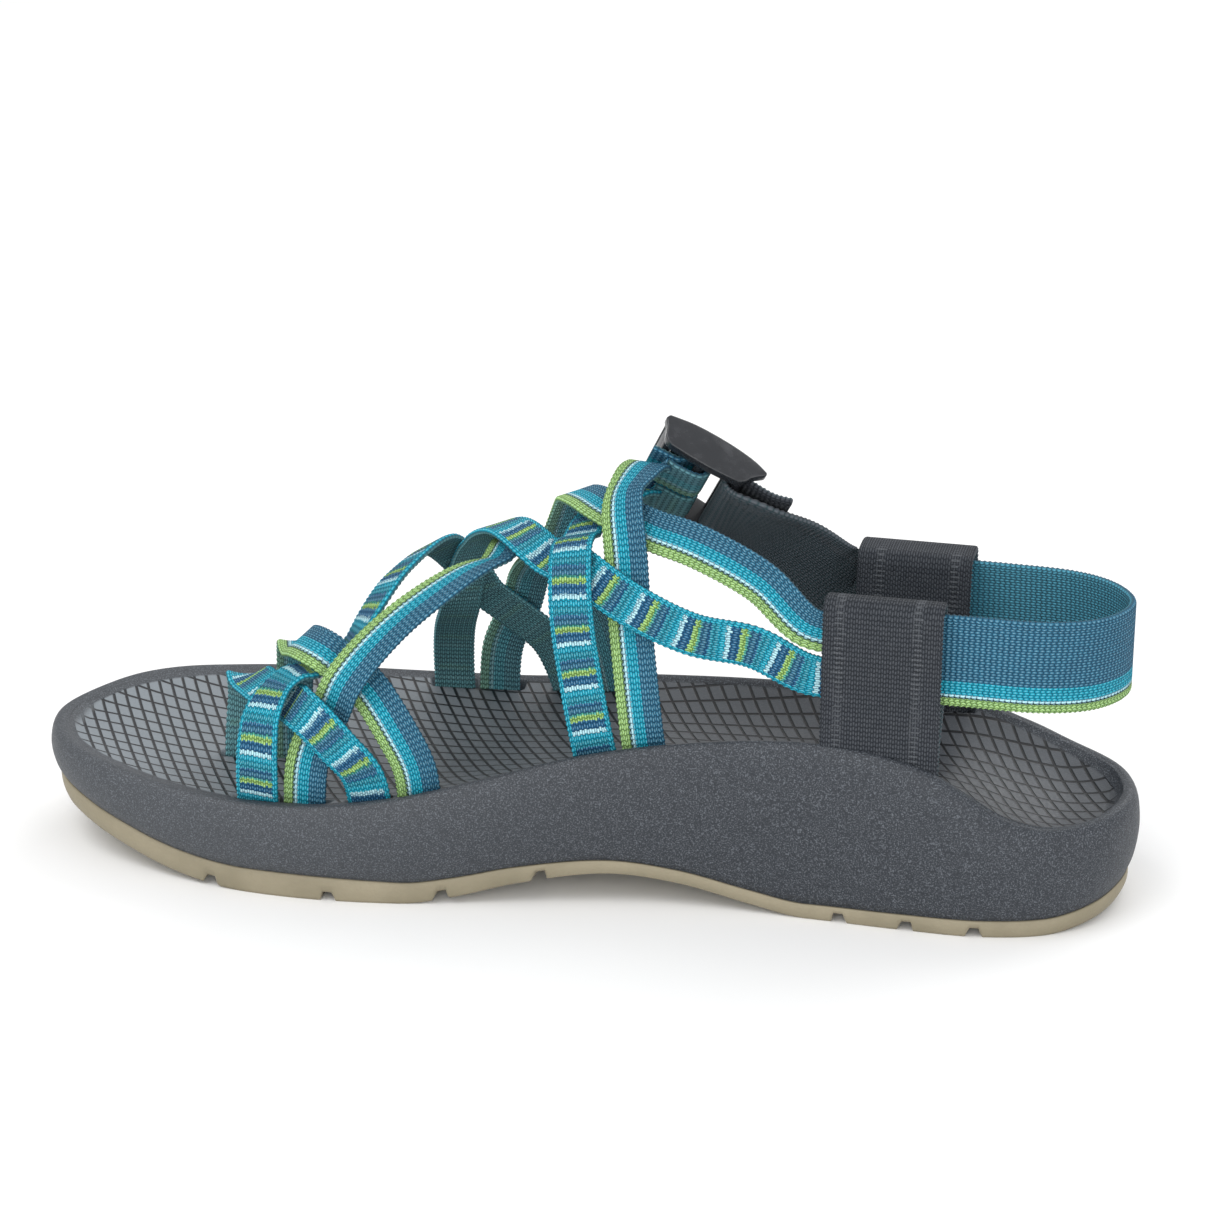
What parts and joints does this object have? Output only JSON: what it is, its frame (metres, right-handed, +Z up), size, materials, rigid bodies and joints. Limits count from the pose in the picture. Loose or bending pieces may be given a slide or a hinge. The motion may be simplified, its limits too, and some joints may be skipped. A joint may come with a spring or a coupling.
{
  "type": "strappy sport sandal",
  "caption": "Right-foot sport sandal: contoured foam midsole on a rubber outsole, narrow patterned and striped webbing woven over the foot, webbing heel strap and a plastic strap buckle.",
  "frame": {"origin": "middle of the sole's length and width, on the ground", "axes": "+X from toe to heel, -Y the inner (medial) side, +Z up"},
  "size_m": [0.266, 0.096, 0.1092],
  "materials": {
    "midsole": "matt grained polyurethane foam",
    "outsole": "matt gum rubber",
    "patterned_webbing": "woven polyester with cross bands",
    "striped_webbing": "woven polyester with long stripes",
    "heel_webbing": "woven polyester with an edge stripe",
    "black_webbing": "ribbed black polyester",
    "buckle_plastic": "semi-gloss moulded acetal"
  },
  "bodies": {
    "sole_and_straps": {"midsole": "midsole", "outsole": "outsole", "patterned_instep_strap": "patterned_webbing", "patterned_forefoot_strap": "patterned_webbing", "patterned_toe_loop": "patterned_webbing", "patterned_heel_run": "patterned_webbing", "patterned_toe_tunnel_run": "patterned_webbing", "patterned_ball_tunnel_run": "patterned_webbing", "patterned_arch_tunnel_run": "patterned_webbing", "striped_instep_strap": "striped_webbing", "striped_forefoot_strap": "striped_webbing", "striped_toe_loop": "striped_webbing", "striped_heel_run": "striped_webbing", "striped_toe_tunnel_run": "striped_webbing", "striped_ball_tunnel_run": "striped_webbing", "striped_arch_tunnel_run": "striped_webbing", "medial_riser": "black_webbing", "lateral_riser": "black_webbing", "riser_anchor_webbing": "black_webbing", "buckle_strap": "black_webbing"},
    "buckle": {"buckle": "buckle_plastic", "patterned_buckle_wrap": "patterned_webbing", "striped_buckle_wrap": "striped_webbing"},
    "heel_strap": {"heel_strap": "heel_webbing"},
    "patterned_free_end": {"patterned_free_end": "patterned_webbing"},
    "striped_free_end": {"striped_free_end": "striped_webbing"}
  },
  "joints": [
    {"name": "buckle_tilt", "type": "hinge", "parent": "sole_and_straps", "child": "buckle", "pos_m": [0.02885, 0.01554, 0.0858], "axis": [-0.38, 0.58, -0.7205], "range_deg": [0, 15]},
    {"name": "heel_strap_slide", "type": "slide", "parent": "sole_and_straps", "child": "heel_strap", "axis": [1, 0, 0], "range_m": [-0.006, 0.008]},
    {"name": "patterned_free_end_pull", "type": "slide", "parent": "buckle", "child": "patterned_free_end", "axis": [-0.9068, -0.08, 0.4139], "range_m": [0, 0.015]},
    {"name": "striped_free_end_pull", "type": "slide", "parent": "buckle", "child": "striped_free_end", "axis": [-0.9068, -0.08, 0.4139], "range_m": [0, 0.015]}
  ]
}
